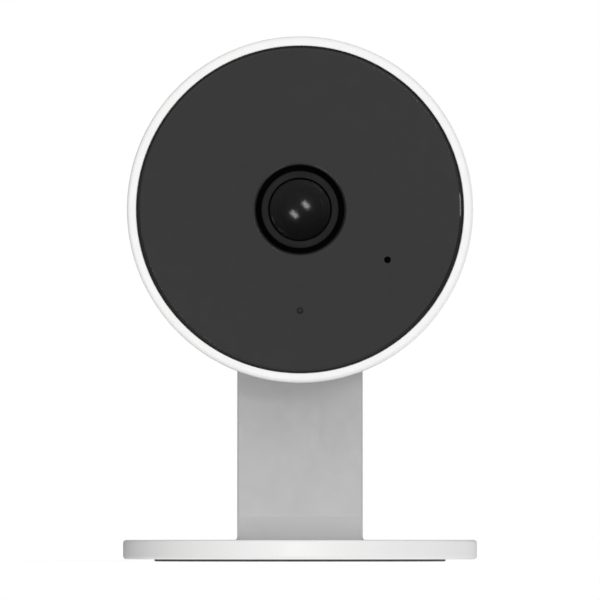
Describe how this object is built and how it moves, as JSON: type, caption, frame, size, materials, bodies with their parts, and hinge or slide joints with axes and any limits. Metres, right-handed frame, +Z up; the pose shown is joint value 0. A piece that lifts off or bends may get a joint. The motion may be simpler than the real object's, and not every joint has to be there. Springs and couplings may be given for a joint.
{
  "type": "indoor security camera",
  "caption": "Indoor security camera: a round head with a dark face panel tilts on a flat arm, which swivels on a round magnetic foot.",
  "frame": {"origin": "centre of the foot pad's underside, where the camera stands", "axes": "+Z up along the height, the camera looks along -Y, +X to the right as seen from in front of the camera"},
  "size_m": [0.066, 0.066, 0.0975],
  "materials": {
    "amber_film": "amber polyimide film",
    "black_board": "black solder mask",
    "black_panel": "polished black acrylic, clear to infrared light",
    "black_plastic": "black moulded plastic",
    "black_rubber": "soft black rubber",
    "bright_steel": "bright plated steel",
    "chip_black": "moulded chip package",
    "copper_winding": "enamelled copper winding",
    "filter_clear": "clear glass",
    "filter_red": "infrared-cut glass",
    "foot_rubber": "dark grey non-slip rubber",
    "green_board": "green solder mask",
    "led_resin": "clear dark LED resin",
    "lens_glass": "coated optical glass",
    "light_pipe": "smoked translucent plastic",
    "magnet_nickel": "nickel-plated magnet",
    "nylon": "natural nylon",
    "sensor_face": "image sensor with its cover glass",
    "shield_can": "tinned shield can",
    "speaker_cone": "black speaker basket and cone",
    "white_shell": "fine matt moulded plastic, white",
    "white_stand": "satin moulded plastic, white"
  },
  "bodies": {
    "base": {"base_bottom_plate": "bright_steel", "base_magnet_1": "magnet_nickel", "base_magnet_2": "magnet_nickel", "base_magnet_3": "magnet_nickel", "base_ring": "white_shell", "base_screw_1": "bright_steel", "base_screw_2": "bright_steel", "base_screw_3": "bright_steel", "foot_pad": "foot_rubber", "swivel_friction_ring": "nylon"},
    "arm": {"hinge_cap_left": "white_stand", "hinge_cap_right": "white_stand", "hinge_pin": "bright_steel", "hinge_washer_left": "nylon", "hinge_washer_right": "nylon", "stand_arm": "white_stand"},
    "head": {"antenna": "amber_film", "board_ribbon": "amber_film", "face_panel": "black_panel", "front_lens": "lens_glass", "housing_screw_1": "bright_steel", "housing_screw_2": "bright_steel", "housing_screw_3": "bright_steel", "housing_shell": "white_shell", "image_sensor": "sensor_face", "ir_cut_coil": "copper_winding", "ir_cut_frame": "black_plastic", "ir_led_1": "led_resin", "ir_led_2": "led_resin", "ir_led_3": "led_resin", "ir_led_4": "led_resin", "ir_led_board": "black_board", "lens_barrel": "black_plastic", "lens_holder": "black_plastic", "lens_holder_screw_1": "bright_steel", "lens_holder_screw_2": "bright_steel", "lens_hood": "black_rubber", "lens_retainer": "black_plastic", "main_board": "green_board", "main_board_screw_1": "bright_steel", "main_board_screw_2": "bright_steel", "memory_card_socket": "bright_steel", "microphone": "shield_can", "microphone_boot": "black_rubber", "middle_lens": "lens_glass", "processor": "chip_black", "rear_cover": "white_shell", "rear_lens": "lens_glass", "reset_switch": "chip_black", "speaker": "speaker_cone", "speaker_gasket": "black_rubber", "status_led": "nylon", "status_light_pipe": "light_pipe", "usb_socket": "bright_steel", "wireless_module": "shield_can"},
    "ir_cut_slider": {"ir_cut_slider": "black_plastic", "ir_cut_filter": "filter_red", "clear_filter": "filter_clear"},
    "ir_cut_lever": {"ir_cut_lever": "black_plastic"},
    "reset_button": {"reset_button": "white_shell"}
  },
  "joints": [
    {"name": "swivel", "type": "hinge", "parent": "base", "child": "arm", "pos_m": [0, 0, 0.0025], "axis": [0, 0, 1], "continuous": true},
    {"name": "head_tilt", "type": "hinge", "parent": "arm", "child": "head", "pos_m": [0, 0.01, 0.057], "axis": [1, 0, 0], "range_deg": [-60, 25]},
    {"name": "filter_lever_turn", "type": "hinge", "parent": "head", "child": "ir_cut_lever", "pos_m": [0, -0.0066, 0.05416], "axis": [0, 1, 0], "range_deg": [0, 48]},
    {"name": "filter_slide", "type": "slide", "parent": "head", "child": "ir_cut_slider", "axis": [1, 0, 0], "range_m": [0, 0.00529]},
    {"name": "reset_press", "type": "slide", "parent": "head", "child": "reset_button", "axis": [0, -1, 0], "range_m": [0, 0.0004], "stiffness_N_per_m": 2500, "springref_m": -0.0002}
  ],
  "couplings": [
    {"joint": "filter_lever_turn", "follows": "filter_slide", "rad_per_m": 158.44}
  ]
}
